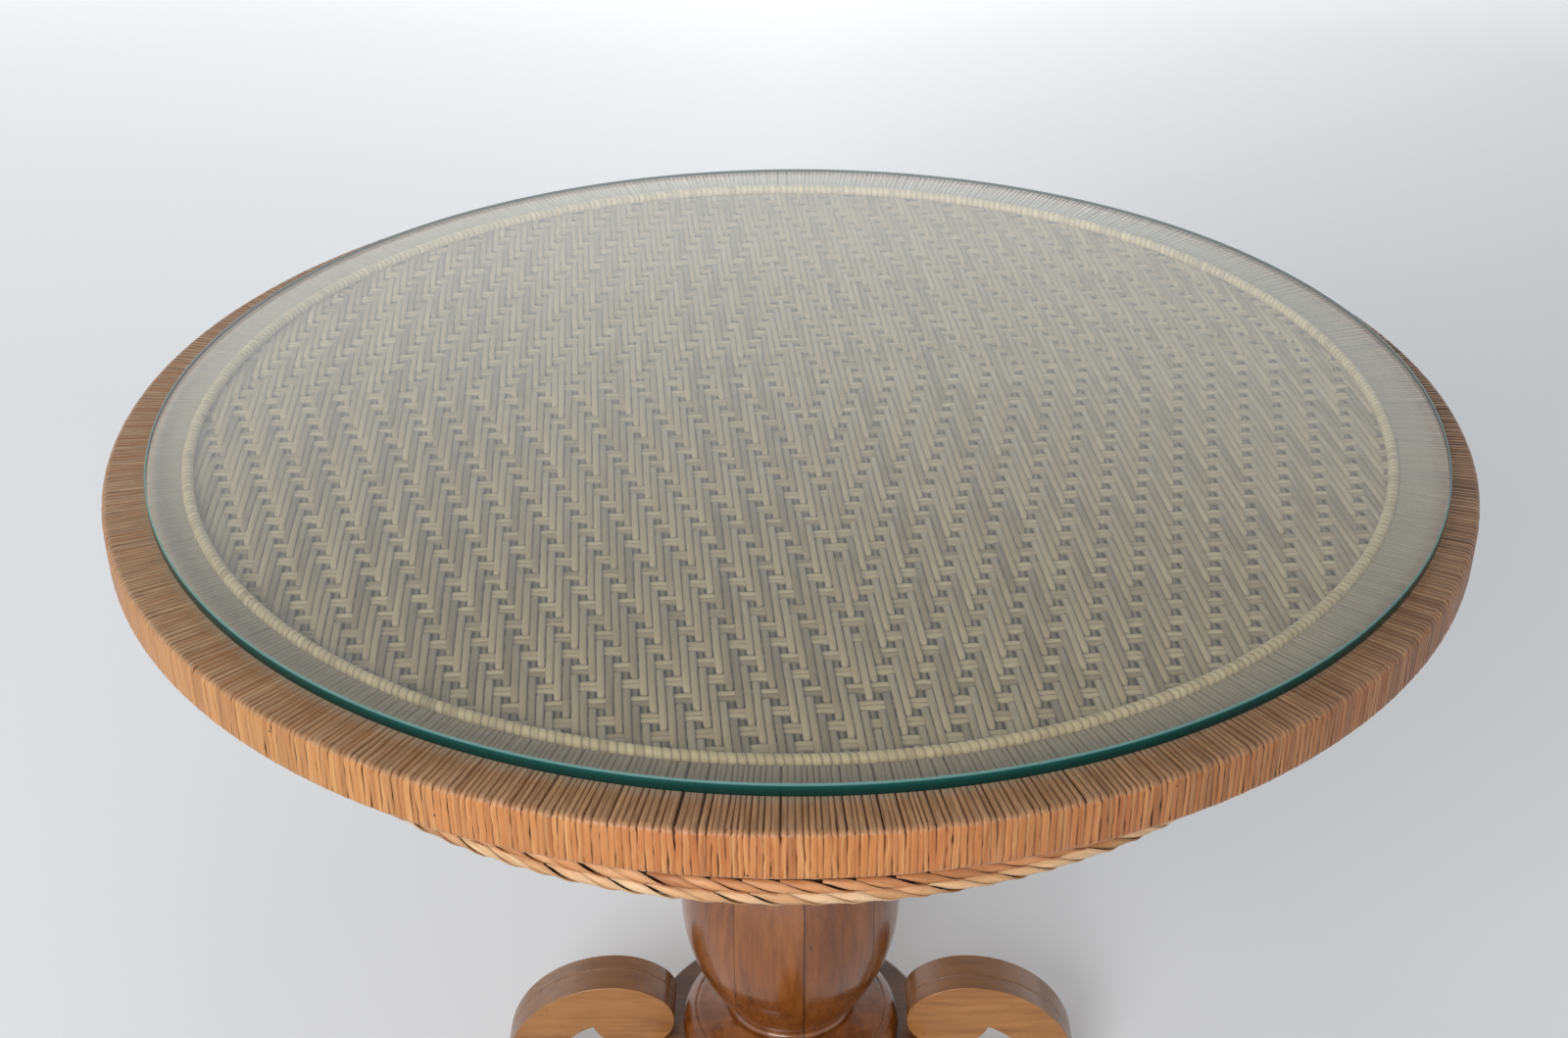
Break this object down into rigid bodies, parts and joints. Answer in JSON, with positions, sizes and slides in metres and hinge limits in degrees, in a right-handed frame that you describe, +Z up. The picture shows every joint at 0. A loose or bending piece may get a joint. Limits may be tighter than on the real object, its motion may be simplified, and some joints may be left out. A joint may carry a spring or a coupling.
{
  "type": "display table",
  "caption": "Round pedestal table with a loose glass disc over a woven reed top, a cane-bound rim, a recessed apron with a braided edge, a turned vase column and scroll feet.",
  "frame": {"origin": "on the floor, under the middle of the rim", "axes": "+Z up; -Y towards the viewer of the picture; +X to that viewer's right"},
  "size_m": [1.0659, 1.066, 0.76],
  "materials": {
    "glass": "clear float glass with a green polished edge",
    "bead_cane": "cord bound with narrow pale cane",
    "woven_reed": "dry reed in a pointed twill",
    "rim_cane": "narrow cane strips with a worn lacquer",
    "apron_cane": "woven cane",
    "braid_cane": "flat cane strands, braided",
    "board_wood": "plywood, unfinished",
    "frame_wood": "planed softwood, unfinished",
    "pedestal_wood": "turned hardwood, stained brown under gloss lacquer",
    "foot_wood": "sawn hardwood, stained brown under gloss lacquer",
    "dowel_wood": "plain birch dowel",
    "steel": "plated steel"
  },
  "bodies": {
    "table": {"rim_bead": "bead_cane", "woven_panel": "woven_reed", "rim_wrap": "rim_cane", "apron_weave": "apron_cane", "apron_braid": "braid_cane", "backing_board": "board_wood", "bearer_x": "frame_wood", "bearer_y": "frame_wood", "mounting_plate": "frame_wood", "pedestal_capital": "pedestal_wood", "base_collar": "pedestal_wood", "plinth_disc": "foot_wood", "hub_block": "frame_wood", "rim_dowels": "dowel_wood", "leg_dowels": "dowel_wood", "rim_felloe_1": "frame_wood", "apron_segment_1": "frame_wood", "rim_felloe_2": "frame_wood", "apron_segment_2": "frame_wood", "rim_felloe_3": "frame_wood", "apron_segment_3": "frame_wood", "rim_felloe_4": "frame_wood", "apron_segment_4": "frame_wood", "rim_felloe_5": "frame_wood", "apron_segment_5": "frame_wood", "rim_felloe_6": "frame_wood", "apron_segment_6": "frame_wood", "rim_felloe_7": "frame_wood", "apron_segment_7": "frame_wood", "rim_felloe_8": "frame_wood", "apron_segment_8": "frame_wood", "pedestal_board_1": "pedestal_wood", "foot_thin_board_1": "foot_wood", "foot_thick_board_1": "foot_wood", "pedestal_board_2": "pedestal_wood", "foot_thin_board_2": "foot_wood", "foot_thick_board_2": "foot_wood", "pedestal_board_3": "pedestal_wood", "foot_thin_board_3": "foot_wood", "foot_thick_board_3": "foot_wood", "pedestal_board_4": "pedestal_wood", "foot_thin_board_4": "foot_wood", "foot_thick_board_4": "foot_wood", "apron_brads": "steel", "bearer_screws": "steel", "plate_screws": "steel", "plinth_screws": "steel", "tie_rod": "steel", "tie_rod_nuts": "steel", "tie_rod_washers": "steel"},
    "glass": {"glass_top": "glass"}
  },
  "joints": [
    {"name": "glass_lift", "type": "slide", "parent": "table", "child": "glass", "axis": [0, 0, 1], "range_m": [0, 0.12]}
  ]
}
